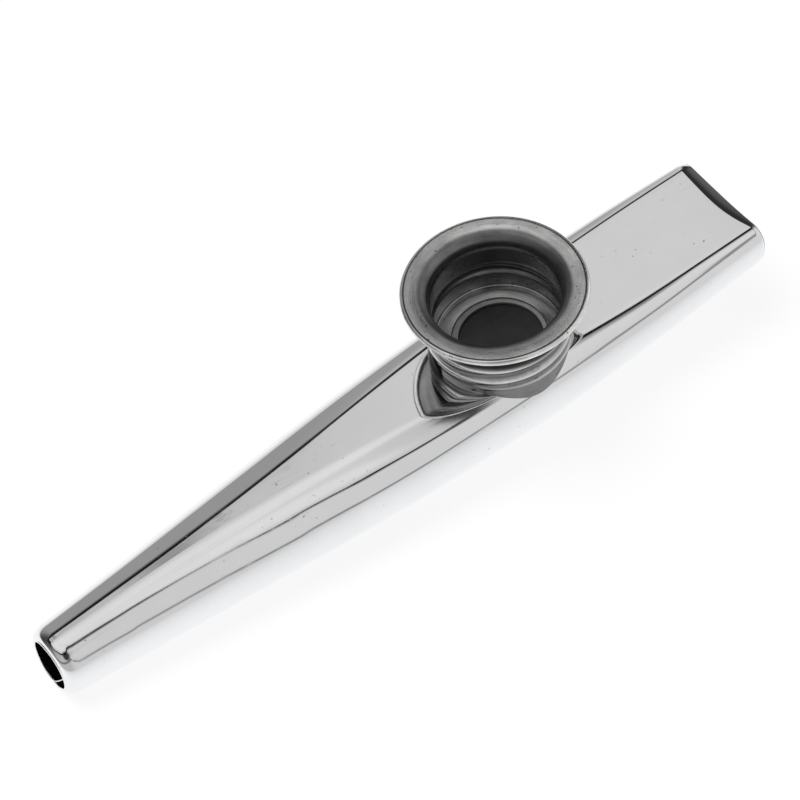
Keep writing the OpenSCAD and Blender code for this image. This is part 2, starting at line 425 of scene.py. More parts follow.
def smooth(mesh: bpy.types.Mesh, sharp: float) -> None:
    """Shades a mesh smooth but for its edges past an angle in degrees."""
    mesh.polygons.foreach_set("use_smooth", np.ones(len(mesh.polygons), bool))
    mesh.set_sharp_from_angle(angle=math.radians(sharp))


def mesh_piece(name: str, points: Points, faces: list, sharp: float = 40.0) -> bpy.types.Object:
    """Makes an object of points and faces, smooth but for its sharp edges.

    Args:
        name: The piece's name.
        points: Places of the points, in metres.
        faces: Rows of point numbers.
        sharp: Angle in degrees past which an edge stays sharp.

    Returns:
        The object.
    """
    mesh = bpy.data.meshes.new(name)
    mesh.from_pydata(points.tolist(), [], faces)
    mesh.validate()
    smooth(mesh, sharp)
    mesh.update()
    made = bpy.data.objects.new(name, mesh)
    bpy.context.scene.collection.objects.link(made)
    return made


def make_plain(piece: bpy.types.Object, sharp: float) -> None:
    """Turns a piece with modifiers into a plain mesh under the same name.

    Args:
        piece: The piece.
        sharp: Angle in degrees past which an edge stays sharp.
    """
    bpy.context.view_layer.update()
    evaluated = bpy.context.evaluated_depsgraph_get()
    mesh = bpy.data.meshes.new_from_object(piece.evaluated_get(evaluated), depsgraph=evaluated)
    piece.modifiers.clear()
    old = piece.data
    piece.data = mesh
    mesh.name = piece.name
    bpy.data.meshes.remove(old)
    smooth(mesh, sharp)


def grid_faces(rows: int, across: int, joined: bool) -> list:
    """Faces between rows of points, of which the last row meets the first.

    Args:
        rows: Rows of points.
        across: Points in a row.
        joined: Whether the end of each row meets its start.

    Returns:
        Rows of four point numbers.
    """
    row = np.arange(rows)[:, None]
    place = np.arange(across if joined else across - 1)[None, :]
    row_start, next_start = row * across, (row + 1) % rows * across
    next_place = (place + 1) % across
    corners = [row_start + place, row_start + next_place, next_start + next_place, next_start + place]
    return np.stack(corners, -1).reshape(-1, 4).tolist()


def arc(centre: tuple[float, float], reach: tuple[float, float], start: float, end: float, steps: int,
        thread: float = 0.0) -> list:
    """Rows on an arc of an ellipse in a profile, both ends included.

    Args:
        centre: Radius and height of the ellipse's centre.
        reach: Its half width and half height.
        start: Angle in degrees where it starts.
        end: Angle in degrees where it ends.
        steps: Stretches in all.
        thread: The rows' thread share.

    Returns:
        Rows of radius, height and thread share.
    """
    angles = np.radians(np.linspace(start, end, steps + 1))
    return [(centre[0] + reach[0] * math.cos(angle), centre[1] + reach[1] * math.sin(angle), thread)
            for angle in angles]


def turned(name: str, profile: list, centre_x: float, around: int) -> bpy.types.Object:
    """Turns a closed profile round an upright axis.

    Args:
        name: The piece's name.
        profile: Rows of radius, height and thread share, with the outside on the left hand.
        centre_x: Where the axis stands.
        around: Points in one turn.

    Returns:
        The piece, with the thread share as a point attribute.
    """
    rows = np.array(profile, float)
    angles = 2 * np.pi * np.arange(around) / around
    x = centre_x + rows[:, None, 0] * np.cos(angles)
    y = rows[:, None, 0] * np.sin(angles)
    z = np.broadcast_to(rows[:, None, 1], x.shape)
    points = np.stack([x, y, z], -1).reshape(-1, 3)
    made = mesh_piece(name, points, grid_faces(len(rows), around, True), TURNED_SHARP)
    share = made.data.attributes.new("thread_share", "FLOAT", "POINT")
    share.data.foreach_set("value", np.repeat(rows[:, 2], around).astype(np.float32))
    return made


# finishes


def shaded(tint: Colour, share: float) -> Colour:
    """Returns a tint, lighter or darker by a share."""
    return tuple(min(1.0, part * share) for part in tint[:3]) + (1.0,)


class Surface:
    """A new material with its graph, its Principled shader and its Object coordinates.

    Args:
        name: The material's name.
    """

    def __init__(self, name: str) -> None:
        """Makes the material and links its shader to the output."""
        self.material = bpy.data.materials.new(name)
        self.material.use_nodes = True
        self.graph = Graph(self.material.node_tree)
        self.shader = self.graph.node("ShaderNodeBsdfPrincipled")
        out = self.graph.node("ShaderNodeOutputMaterial")
        self.graph.put(self.shader.outputs[0], out.inputs["Surface"])
        self.where = self.graph.node("ShaderNodeTexCoord").outputs["Object"]

    def dress(self, colour: Socket, rough: Socket, normal: Socket, metal: float) -> bpy.types.Material:
        """Gives the shader its colour, roughness and relief.

        Args:
            colour: The base colour.
            rough: The roughness.
            normal: The normal with its relief.
            metal: How metallic the surface is, 0 to 1.

        Returns:
            The finished material.
        """
        self.graph.put(colour, self.shader.inputs["Base Color"])
        self.graph.put(rough, self.shader.inputs["Roughness"])
        self.graph.put(normal, self.shader.inputs["Normal"])
        self.shader.inputs["Metallic"].default_value = metal
        return self.material


@dataclass(frozen=True)
class PolishedPlate:
    """Bright plating with fine rub marks, specks and the faint waves of pressed sheet."""

    name: str = "polished_plate"
    tint: Colour = (0.90, 0.90, 0.905, 1.0)
    shine: float = 0.045
    haze: float = 0.10
    cloud_scale: float = 90
    cloud_shade: float = 0.965
    cloud_tone: Band = (0.3, 0.7)
    rub_scale: float = 2600
    rub_stretch: tuple[float, float, float] = (0.12, 1.0, 1.0)
    rub_strength: float = 0.1
    rub_depth: float = 0.002 * MM
    rub_marks: Band = (0.45, 0.75)
    rub_places: Band = (0.35, 0.75)
    speck_scale: float = 1500
    speck_cover: float = 0.5
    speck_shade: float = 0.30
    speck_rough: float = 0.3
    speck_marks: Band = (0.735, 0.80)
    speck_places: Band = (0.40, 0.62)
    wave_scale: float = 120
    wave_stretch: tuple[float, float, float] = (0.5, 1.0, 1.0)
    wave_depth: float = 0.03 * MM

    def build(self) -> bpy.types.Material:
        """Builds the finish.

        Returns:
            The material.
        """
        surface = Surface(self.name)
        graph, where = surface.graph, surface.where
        cloud = graph.noise(where, self.cloud_scale, 3, 0.6)
        rub = graph.noise(graph.vector("MULTIPLY", where, self.rub_stretch), self.rub_scale, 4, 0.6)
        dots = graph.noise(where, self.speck_scale, 1, 0.4)
        waves = graph.noise(graph.vector("MULTIPLY", where, self.wave_stretch), self.wave_scale, 1, 0.4)
        specks = graph.math("MULTIPLY", graph.step(dots, *self.speck_marks),
                            graph.step(cloud, *self.speck_places))
        haze = graph.math("MULTIPLY", graph.step(rub, *self.rub_marks), graph.step(cloud, *self.rub_places))
        rough = graph.math("MULTIPLY_ADD", haze, self.haze, self.shine)
        rough = graph.math("MULTIPLY_ADD", specks, self.speck_rough, rough)
        tone = graph.step(cloud, *self.cloud_tone)
        colour = graph.mix(tone, shaded(self.tint, self.cloud_shade), self.tint)
        cover = graph.math("MULTIPLY", specks, self.speck_cover)
        colour = graph.mix(cover, colour, shaded(self.tint, self.speck_shade))
        normal = graph.bump(waves, 1.0, self.wave_depth)
        normal = graph.bump(rub, self.rub_strength, self.rub_depth, normal)
        return surface.dress(colour, rough, normal, 1.0)


@dataclass(frozen=True)
class CloudedFinish:
    """A quiet surface with soft clouds in its tone, its gloss and its relief."""

    name: str
    tint: Colour
    low_shade: float
    cloud_scale: float
    rough: Band
    relief: float
    metal: float
    relief_strength: float = 0.3
    cloud_tone: Band = (0.35, 0.65)
    cloud_gloss: Band = (0.3, 0.7)

    def build(self) -> bpy.types.Material:
        """Builds the finish.

        Returns:
            The material.
        """
        surface = Surface(self.name)
        graph = surface.graph
        cloud = graph.noise(surface.where, self.cloud_scale, 4, 0.6)
        tone = graph.step(cloud, *self.cloud_tone)
        colour = graph.mix(tone, shaded(self.tint, self.low_shade), self.tint)
        rough = graph.step(cloud, *self.cloud_gloss, *self.rough)
        return surface.dress(colour, rough, graph.bump(cloud, self.relief_strength, self.relief), self.metal)


@dataclass(frozen=True)
class DullLining(CloudedFinish):
    """Bare, unpolished metal inside the folded sheet."""

    name: str = "dull_lining"
    tint: Colour = (0.13, 0.125, 0.12, 1.0)
    low_shade: float = 0.6
    cloud_scale: float = 400
    rough: Band = (0.4, 0.6)
    relief: float = 0.02 * MM
    metal: float = 1.0


@dataclass(frozen=True)
class SatinRing(CloudedFinish):
    """Grey satin plastic of the loose ring."""

    name: str = "satin_ring"
    tint: Colour = (0.17, 0.165, 0.16, 1.0)
    low_shade: float = 0.8
    cloud_scale: float = 700
    rough: Band = (0.28, 0.44)
    relief: float = 0.01 * MM
    metal: float = 0.0


@dataclass(frozen=True)
class DarkFilm:
    """Thin dark film, smooth with soft folds where it is stretched."""

    name: str = "dark_film"
    tint: Colour = (0.011, 0.011, 0.012, 1.0)
    dust_scale: float = 2400
    dust_shade: float = 2.0
    fold_scale: float = 210
    dust_tone: Band = (0.5, 0.8)
    dust_gloss: Band = (0.3, 0.8)
    fold_strength: float = 0.6
    fold_depth: float = 0.3 * MM
    rough: Band = (0.30, 0.48)

    def build(self) -> bpy.types.Material:
        """Builds the finish.

        Returns:
            The material.
        """
        surface = Surface(self.name)
        graph = surface.graph
        folds = graph.noise(surface.where, self.fold_scale, 2, 0.5)
        dust = graph.noise(surface.where, self.dust_scale, 3, 0.7)
        tone = graph.step(dust, *self.dust_tone)
        colour = graph.mix(tone, self.tint, shaded(self.tint, self.dust_shade))
        rough = graph.step(dust, *self.dust_gloss, *self.rough)
        return surface.dress(colour, rough, graph.bump(folds, self.fold_strength, self.fold_depth), 0.0)


@dataclass(frozen=True)
class TurnedSteel(ABC):
    """Steel turned round the turret axis, with turning lines, soft clouds and small nicks."""

    sizes: TurretSizes
    name: str
    tint: Colour
    shine: float
    haze: float
    streak: float
    grain: float
    line_scale: float = 7000
    line_drift: float = 0.6 * MM
    line_slant: float = 0.7
    line_strength: float = 0.7
    broad_scale: float = 900
    broad_gloss: Band = (0.35, 0.7)
    cloud_scale: float = 260
    steel_tone: Band = (0.36, 0.64)
    nick_scale: float = 1700
    nick_marks: Band = (0.72, 0.77)
    nick_strength: float = -0.6
    nick_cover: float = 0.7
    nick_tint: Colour = (0.05, 0.048, 0.045, 1.0)
    nick_depth: float = 0.04 * MM

    def build(self) -> bpy.types.Material:
        """Builds the finish.

        Returns:
            The material.
        """
        surface = Surface(self.name)
        graph = surface.graph
        mapping = graph.node("ShaderNodeMapping")
        mapping.inputs["Location"].default_value = (-self.sizes.axis_x, 0, 0)
        graph.put(surface.where, mapping.inputs["Vector"])
        centred = mapping.outputs[0]
        x, y, z = graph.split(centred)
        radius = graph.vector("LENGTH", graph.join(x, y, 0.0))
        turn = graph.math("ARCTAN2", y, x)
        rings = graph.join(graph.math("MULTIPLY", graph.math("COSINE", turn), self.line_drift),
                           graph.math("MULTIPLY", graph.math("SINE", turn), self.line_drift),
                           graph.math("MULTIPLY_ADD", z, self.line_slant, radius))
        lines = graph.noise(rings, self.line_scale, 5, 0.65)
        broad = graph.noise(rings, self.broad_scale, 3, 0.6)
        cloud = graph.noise(centred, self.cloud_scale, 4, 0.65)
        nicks = graph.step(graph.noise(centred, self.nick_scale, 1, 0.4), *self.nick_marks)
        tone = graph.step(graph.between(0.5, lines, cloud), *self.steel_tone)
        colour = graph.mix(tone, shaded(self.tint, 1.0 - self.streak), shaded(self.tint, 1.0 + self.streak))
        colour = graph.mix(graph.math("MULTIPLY", nicks, self.nick_cover), colour, self.nick_tint)
        rough = graph.math("MULTIPLY_ADD", graph.step(broad, *self.broad_gloss), self.haze, self.shine)
        # Painted light and shade by the place on the piece, and darker grooves
        colour, rough = self.painted_light_and_grooves(graph, radius, z, colour, rough)
        normal = graph.bump(lines, self.line_strength, self.grain)
        normal = graph.bump(nicks, self.nick_strength, self.nick_depth, normal)
        return surface.dress(colour, rough, normal, 1.0)

    @abstractmethod
    def painted_light_and_grooves(self, graph: Graph, radius: Socket, height: Socket, colour: Socket,
             rough: Socket) -> tuple[Socket, Socket]:
        """Changes the steel by its place on the piece, with painted light and shade and darker grooves.

        Args:
            graph: The material's graph.
            radius: Distance from the axis.
            height: Height above the ground.
            colour: The plain colour.
            rough: The plain roughness.

        Returns:
            The colour and the roughness there.
        """


@dataclass(frozen=True)
class BrushedSteel(TurnedSteel):
    """The cap's steel: brushed on the rim, darker where it is hollow by painted shade, with painted
    highlights on the thread crests and painted shadow under the rim.
    """

    name: str = "brushed_cap"
    tint: Colour = (0.83, 0.82, 0.815, 1.0)
    shine: float = 0.22
    haze: float = 0.14
    streak: float = 0.2
    grain: float = 0.01 * MM
    rim_start: Band = (10.7 * MM, 11.4 * MM)
    rim_skin: Band = (0.14 * MM, 0.32 * MM)
    bead_start: Band = (12.85 * MM, 13.1 * MM)
    groove_r: float = 13.0 * MM
    groove_half: Band = (0.07 * MM, 0.16 * MM)
    groove_skin: Band = (0.2 * MM, 0.25 * MM)
    groove_cover: float = 0.9
    groove_tint: Colour = (0.06, 0.058, 0.055, 1.0)
    flare_end: Band = (1.7 * MM, 2.3 * MM)
    # Painted shade off the rim: the hollow is darkened to this share, the ledge and the crests painted
    # lighter
    hollow: float = 0.26
    crest_start: Band = (9.1 * MM, 9.28 * MM)
    crest_end: Band = (9.33 * MM, 9.52 * MM)
    ledge_light: float = 1.35
    painted_crest_highlight: float = 2.1
    valley_light: float = 0.95
    # Painted shadow under the rim: where the outside below the bead is darkened
    sheet_middle: Knots = ((24.4, 9.73), (25.5, 10.15), (25.9, 10.75))
    sheet_soft: Band = (-0.05, 0.05)
    under_skin: Band = (0.28 * MM, 0.34 * MM)
    under_end: Band = (12.5 * MM, 12.9 * MM)
    painted_under_rim_shade: float = 0.34
    flare_rough: float = 1.5
    wall_rough: float = 0.9

    def painted_light_and_grooves(self, graph: Graph, radius: Socket, height: Socket, colour: Socket,
             rough: Socket) -> tuple[Socket, Socket]:
        """Darkens the groove, paints shade into the hollow and under the rim and highlights on its thread
        crests, and makes the hollow's gloss its own.

        Args:
            graph: The material's graph.
            radius: Distance from the axis.
            height: Height above the ground.
            colour: The plain colour.
            rough: The plain roughness.

        Returns:
            The colour and the roughness there.
        """
        depth = graph.math("SUBTRACT", self.sizes.rim_top, height)
        flat = graph.math("MULTIPLY", graph.step(radius, *self.rim_start),
                          graph.step(depth, *self.rim_skin, 1.0, 0.0))
        rim = graph.math("MAXIMUM", flat, graph.step(radius, *self.bead_start))
        aside = graph.math("ABSOLUTE", graph.math("SUBTRACT", radius, self.groove_r))
        groove = graph.math("MULTIPLY", graph.step(aside, *self.groove_half, 1.0, 0.0),
                            graph.step(depth, *self.groove_skin, 1.0, 0.0))
        colour = graph.mix(graph.math("MULTIPLY", groove, self.groove_cover), colour, self.groove_tint)
        deep = graph.step(depth, *self.flare_end)
        hollow = self.painted_light_off_rim(graph, radius, height, depth, deep)
        # Painted shade in the hollow and under the rim, painted highlights on the thread crests
        colour = graph.vector("SCALE", colour, scale=graph.between(rim, hollow, 1.0))
        satin = graph.between(rim, graph.between(deep, self.flare_rough, self.wall_rough), 1.0)
        return colour, graph.math("MULTIPLY", rough, satin)

    def painted_light_off_rim(self, graph: Graph, radius: Socket, height: Socket, depth: Socket,
                     deep: Socket) -> Socket:
        """How bright the metal is painted off the rim: painted shade on the flare, the threaded wall, the
        ledge and the underside, with painted highlights on the thread crests.

        Args:
            graph: The material's graph.
            radius: Distance from the axis.
            height: Height above the ground.
            depth: Distance below the rim's top.
            deep: Whether the place lies below the flare, 0 to 1.

        Returns:
            The share of the rim's brightness.
        """
        # Painted highlights on the inner thread crests, the ledge painted a little lighter
        rising = graph.step(radius, *self.crest_start, self.ledge_light, self.painted_crest_highlight)
        falling = graph.step(radius, *self.crest_end, self.painted_crest_highlight, self.valley_light)
        wall = graph.between(deep, 1.0, graph.math("MINIMUM", rising, falling))
        middle = graph.curve(graph.math("MULTIPLY", height, 1 / MM), self.sheet_middle)
        outside = graph.math("SUBTRACT", graph.math("MULTIPLY", radius, 1 / MM), middle)
        # Painted shadow on the outside below the bead, under the rim
        under = graph.math("MULTIPLY", graph.step(outside, *self.sheet_soft),
                           graph.step(depth, *self.under_skin))
        under = graph.math("MULTIPLY", under, graph.step(radius, *self.under_end, 1.0, 0.0))
        return graph.between(under, graph.math("MULTIPLY", wall, self.hollow), self.painted_under_rim_shade)


@dataclass(frozen=True)
class RolledSteel(TurnedSteel):
    """The collar's steel: bright thread crests, darker valleys and a painted shadow band below its upper
    edge, under the cap's rim.
    """

    name: str = "rolled_collar"
    tint: Colour = (0.62, 0.615, 0.61, 1.0)
    shine: float = 0.08
    haze: float = 0.1
    streak: float = 0.14
    grain: float = 0.003 * MM
    crest_rise: Band = (10.14 * MM, 10.54 * MM)
    valley_light: float = 0.3
    # Painted shadow band below the upper edge, where the cap's rim shades the collar
    shadow_band_start: Band = (20.3 * MM, 21.0 * MM)
    painted_shadow_band: float = 0.15

    def painted_light_and_grooves(self, graph: Graph, radius: Socket, height: Socket, colour: Socket,
             rough: Socket) -> tuple[Socket, Socket]:
        """Darkens the valleys and paints a shadow band below the upper edge, under the cap's rim.

        Args:
            graph: The material's graph.
            radius: Distance from the axis.
            height: Height above the ground.
            colour: The plain colour.
            rough: The plain roughness.

        Returns:
            The colour there, and the roughness as it was.
        """
        colour = graph.vector("SCALE", colour, scale=graph.step(radius, *self.crest_rise, self.valley_light))
        # Painted shadow below the upper edge, under the cap's rim
        band = graph.step(height, *self.shadow_band_start, 1.0, self.painted_shadow_band)
        return graph.vector("SCALE", colour, scale=band), rough


# pieces


def section(x: float, outline: Points) -> Points:
    """Stands an outline of side and height at a place along the body."""
    return np.column_stack([np.full(len(outline), x), outline])


@dataclass
class BodySheet:
    """The folded sheet of the body, from the narrow outlet to the wide mouth."""

    turret: TurretSizes
    length: float = 120 * MM
    width: float = 21.8 * MM
    sheet: float = 0.4 * MM
    seam_gap: float = 0.16 * MM
    seam_flare: float = 0.12 * MM
    seam_lean: float = 0.4
    narrow_lip_long: float = 2.0 * MM
    narrow_lip_deep: float = 1.12 * MM
    mouth_lip_long: float = 0.6 * MM
    mouth_lip_more: float = 1.5 * MM
    mouth_lip_deep: float = 0.6 * MM
    mouth_lip_least: float = 0.25
    far_lean: float = 0.22
    near_lean: float = 0.95
    least_rise: float = 0.01 * MM
    edge_round: float = 0.14 * MM
    edge_rows: int = 6
    lip_rows: int = 17
    plain_rows: int = 170
    under_points: int = 8
    round_points: int = 33
    panel_points: int = 13
    hole_points: int = 192
    hole_below: float = 5 * MM
    hole_above: float = 2 * MM
    hole_hub: float = 0.01 * MM
    half_widths: ShareTable = field(default=ShareTable(
        STATIONS, (0.477, 0.628, 0.801, 0.939, 0.997, 1, 0.998, 0.974, 0.896)))
    flats: ShareTable = field(default=ShareTable(
        STATIONS, (0.032, 0.045, 0.154, 0.343, 0.55, 0.605, 0.64, 0.67, 0.674)))
    tops: ShareTable = field(default=ShareTable(
        STATIONS, (0.685, 0.821, 0.935, 1, 1, 1, 1.008, 1.044, 1.075)))
    bellies: ShareTable = field(default=ShareTable(
        STATIONS, (0, 0, 0, 0, 0, 0.065, 0.18, 0.37, 0.525)))
    belly_flats: ShareTable = field(default=ShareTable(
        STATIONS, (0.08, 0.108, 0.143, 0.197, 0.24, 0.28, 0.37, 0.54, 0.65)))

    def lip(self, shares: Points, mid: Points | float) -> Points:
        """How far the sheet is turned in.

        Args:
            shares: Shares of the length.
            mid: Nearness to the middle of the lip, 0 to 1.

        Returns:
            The turn-in in metres.
        """
        from_narrow = np.clip(1 - shares * self.length / self.narrow_lip_long, 0, 1)
        mouth_long = self.mouth_lip_long + self.mouth_lip_more * mid
        from_mouth = np.clip(1 - (1 - shares) * self.length / mouth_long, 0, 1)
        mouth_deep = self.mouth_lip_deep * (self.mouth_lip_least + (1 - self.mouth_lip_least) * mid)
        return self.narrow_lip_deep * (1 - np.sqrt(1 - from_narrow**2)) + mouth_deep * from_mouth**2

    def stations(self) -> Points:
        """Places the sections, closest at the lips.

        Returns:
            The shares of the length at which they stand.
        """
        start = self.narrow_lip_long / self.length
        end = (self.mouth_lip_long + self.mouth_lip_more) / self.length
        ease = 1 - np.cos(np.linspace(0, np.pi / 2, self.lip_rows))
        plain = np.linspace(start, 1 - end, self.plain_rows)
        return np.concatenate([start * ease[:-1], plain, 1 - end * ease[::-1][1:]])

    def outline(self, shares: Points, inset: float) -> Points:
        """Outline of the sheet from one seam edge round to the other.

        Args:
            shares: Shares of the length.
            inset: How far inside the outer face the outline lies.

        Returns:
            Points of each section, as side and height.
        """
        far_y, far_z = self.half(shares[:, None], inset, self.far_lean)
        near_y, near_z = self.half(shares[:, None], inset, self.near_lean)
        y = np.concatenate([far_y, -near_y[:, -2::-1]], 1)
        z = np.concatenate([far_z, near_z[:, -2::-1]], 1)
        return np.stack([y, z], -1)

    def half(self, shares: Points, inset: float, lean: float) -> tuple[Points, Points]:
        """One half of the outline, from the seam over the side to the middle of the panel.

        Args:
            shares: Shares of the length, one to a row.
            inset: How far inside the outer face the outline lies.
            lean: How much shorter the mouth's lip is at the edge of the panel.

        Returns:
            Side and height of the points of each section.
        """
        half = self.width / 2
        flat, wide = half * self.flats.at(shares), half * self.half_widths.at(shares)
        under = half * self.belly_flats.at(shares)
        top = self.turret.panel * self.tops.at(shares)
        low = self.turret.panel * np.maximum(self.bellies.at(shares), 0)
        low = np.where(low < self.least_rise, 0, low)
        shoulder = np.minimum(wide - flat, (top - low) / 2)
        middle = top - shoulder
        seam = (self.seam_gap + self.seam_flare * self.lip(shares, 1.0) / self.narrow_lip_deep) / 2
        edge, side = self.lip(shares, 1 - self.seam_lean), self.lip(shares, 0.0)
        crest = self.lip(shares, 1 - lean)
        along = np.linspace(0, 1, self.under_points)[None, :]
        under_y = seam + (under - seam) * along
        under_z = low + inset + self.lip(shares, 1 - self.seam_lean * along**2)
        turn = np.radians(np.linspace(0, 90, self.round_points))[None, 1:]
        deep = inset + edge + (side - edge) * np.sin(turn)
        belly_y = under + (wide - under - deep) * np.sin(turn)
        belly_z = middle - (middle - low - deep) * np.cos(turn)
        deep = inset + side + (crest - side) * np.sin(turn)
        side_y = flat + (wide - flat - deep) * np.cos(turn)
        side_z = middle + (shoulder - deep) * np.sin(turn)
        along = np.linspace(0, 1, self.panel_points)[None, 1:]
        top_y = flat * (1 - along)
        top_z = top - inset - self.lip(shares, 1 - lean * (1 - along) ** 2)
        return (np.concatenate([under_y, belly_y, side_y, top_y], 1),
                np.concatenate([under_z, belly_z, side_z, top_z], 1))

    def rounded(self, first: Points, last: Points, x: float, way: float) -> list:
        """Rows over the rounded edge between two outlines at one end of the sheet.

        Args:
            first: The outline where the rounding starts.
            last: The outline where it ends.
            x: Where both stand.
            way: 1 for an edge that bulges towards the mouth, -1 for the other.

        Returns:
            The rows between the two.
        """
        rows = []
        for turn in np.radians(np.linspace(0, 180, self.edge_rows + 2))[1:-1]:
            outline = (first + last) / 2 + (first - last) / 2 * math.cos(turn)
            rows.append(section(x + way * self.edge_round * math.sin(turn), outline))
        return rows

    def seam_faces(self, rows: int, across: int, along: int) -> list:
        """Closes the sheet's thickness along its two seam edges.

        Args:
            rows: Rows of points round the sheet, over both lips.
            across: Points in a row.
            along: Rows on the outer face.

        Returns:
            The faces of both seam edges.
        """
        last = rows - self.edge_rows - 1
        faces = []
        for side in (0, across - 1):
            loops = [[row, row + 1, last - row - 1, last - row] for row in range(along - 1)]
            loops.append([along - 1 + row for row in range(self.edge_rows + 2)])
            loops.append([(last + row) % rows for row in range(self.edge_rows + 2)])
            for loop in loops:
                wall = [row * across + side for row in loop]
                faces.append(wall[::-1] if side == 0 else wall)
        return faces

    def mesh(self) -> tuple[bpy.types.Object, slice]:
        """Builds the closed sheet with rounded lips.

        Returns:
            The piece, before the hole for the collar is cut, and the span of its inner faces.
        """
        shares = self.stations()
        outer, inner = self.outline(shares, 0.0), self.outline(shares, self.sheet)
        x = (shares - 0.5) * 2 * (self.length / 2 - self.edge_round)
        front = [section(*row) for row in zip(x, outer)]
        back = [section(*row) for row in zip(x[::-1], inner[::-1])]
        mouth = self.rounded(outer[-1], inner[-1], x[-1], 1)
        outlet = self.rounded(inner[0], outer[0], x[0], -1)
        rows = front + mouth + back + outlet
        across = len(outer[0])
        faces = grid_faces(len(rows), across, False) + self.seam_faces(len(rows), across, len(front))
        lined = slice((len(front) - 1) * (across - 1), (len(rows) - len(outlet) - 1) * (across - 1))
        return mesh_piece("body_sheet", np.concatenate(rows), faces, SHEET_SHARP), lined

    def cut_hole(self, piece: bpy.types.Object) -> None:
        """Cuts the round hole that the collar stands in.

        Args:
            piece: The sheet.
        """
        low, high = self.turret.panel - self.hole_below, self.turret.panel + self.hole_above
        hub, radius = self.hole_hub, self.turret.collar_out_r
        corners = [(hub, low, 0), (radius, low, 0), (radius, high, 0), (hub, high, 0)]
        cutter = turned("hole_cutter", corners, self.turret.axis_x, self.hole_points)
        cut = piece.modifiers.new("collar_hole", "BOOLEAN")
        cut.operation = "DIFFERENCE"
        cut.solver = "EXACT"
        cut.object = cutter
        make_plain(piece, SHEET_SHARP)
        bpy.data.objects.remove(cutter)

    def build(self, finish: bpy.types.Material, lining: bpy.types.Material) -> bpy.types.Object:
        """Builds the sheet, dresses it and cuts the collar's hole.

        Args:
            finish: The plating.
            lining: The bare metal inside.

        Returns:
            The finished piece.
        """
        piece, lined = self.mesh()
        piece.data.materials.append(finish)
        piece.data.materials.append(lining)
        inside = np.zeros(len(piece.data.polygons), int)
        inside[lined] = 1
        piece.data.polygons.foreach_set("material_index", inside)
        self.cut_hole(piece)
        return piece


def thread_tree() -> bpy.types.NodeTree:
    """Builds the Geometry Nodes tree that rolls a right-hand thread into a turned wall.

    Returns:
        The tree, with the depth, the pitch, the axis and the finish as inputs.
    """
    tree = bpy.data.node_groups.new("rolled_thread", "GeometryNodeTree")
    graph = Graph(tree)
    for name, kind in (("Geometry", "NodeSocketGeometry"), ("Thread Depth", "NodeSocketFloat"),
                       ("Thread Pitch", "NodeSocketFloat"), ("Axis", "NodeSocketVector"),
                       ("Finish", "NodeSocketMaterial")):
        tree.interface.new_socket(name, in_out="INPUT", socket_type=kind)
    tree.interface.new_socket("Geometry", in_out="OUTPUT", socket_type="NodeSocketGeometry")
    entry, result = graph.node("NodeGroupInput"), graph.node("NodeGroupOutput")
    place = graph.node("GeometryNodeInputPosition").outputs[0]
    x, y, z = graph.split(graph.vector("SUBTRACT", place, entry.outputs["Axis"]))
    turn = graph.math("ARCTAN2", y, x)
    climb = graph.math("MULTIPLY", graph.math("DIVIDE", z, entry.outputs["Thread Pitch"]), 2 * math.pi)
    wave = graph.math("MULTIPLY_ADD", graph.math("COSINE", graph.math("SUBTRACT", climb, turn)), 0.5, 0.5)
    share = graph.node("GeometryNodeInputNamedAttribute", data_type="FLOAT")
    share.inputs["Name"].default_value = "thread_share"
    rise = graph.math("MULTIPLY", wave, entry.outputs["Thread Depth"])
    rise = graph.math("MULTIPLY", rise, share.outputs["Attribute"])
    outward = graph.vector("NORMALIZE", graph.join(x, y, 0.0))
    move = graph.node("GeometryNodeSetPosition")
    graph.put(entry.outputs["Geometry"], move.inputs["Geometry"])
    graph.put(graph.vector("SCALE", outward, scale=rise), move.inputs["Offset"])
    real = graph.node("GeometryNodeRealizeInstances")
    graph.put(move.outputs[0], real.inputs[0])
    dress = graph.node("GeometryNodeSetMaterial")
    graph.put(real.outputs[0], dress.inputs["Geometry"])
    graph.put(entry.outputs["Finish"], dress.inputs["Material"])
    graph.put(dress.outputs[0], result.inputs["Geometry"])
    return tree


def roll_thread(piece: bpy.types.Object, tree: bpy.types.NodeTree, sizes: TurretSizes,
                finish: bpy.types.Material) -> bpy.types.Object:
    """Rolls the thread into a turned wall and makes it a plain mesh.

    Args:
        piece: The turned wall, with its thread share.
        tree: The thread's tree.
        sizes: Depth, pitch and axis of the thread.
        finish: The metal.

    Returns:
        The piece.
    """
    piece.data.materials.append(finish)
    modifier = piece.modifiers.new("rolled_thread", "NODES")
    modifier.node_group = tree
    names = {item.name: item.identifier for item in tree.interface.items_tree if item.in_out == "INPUT"}
    modifier[names["Thread Depth"]] = sizes.thread_depth
    modifier[names["Thread Pitch"]] = sizes.thread_pitch
    modifier[names["Axis"]] = (sizes.axis_x, 0.0, 0.0)
    modifier[names["Finish"]] = finish
    make_plain(piece, TURNED_SHARP)
    return piece


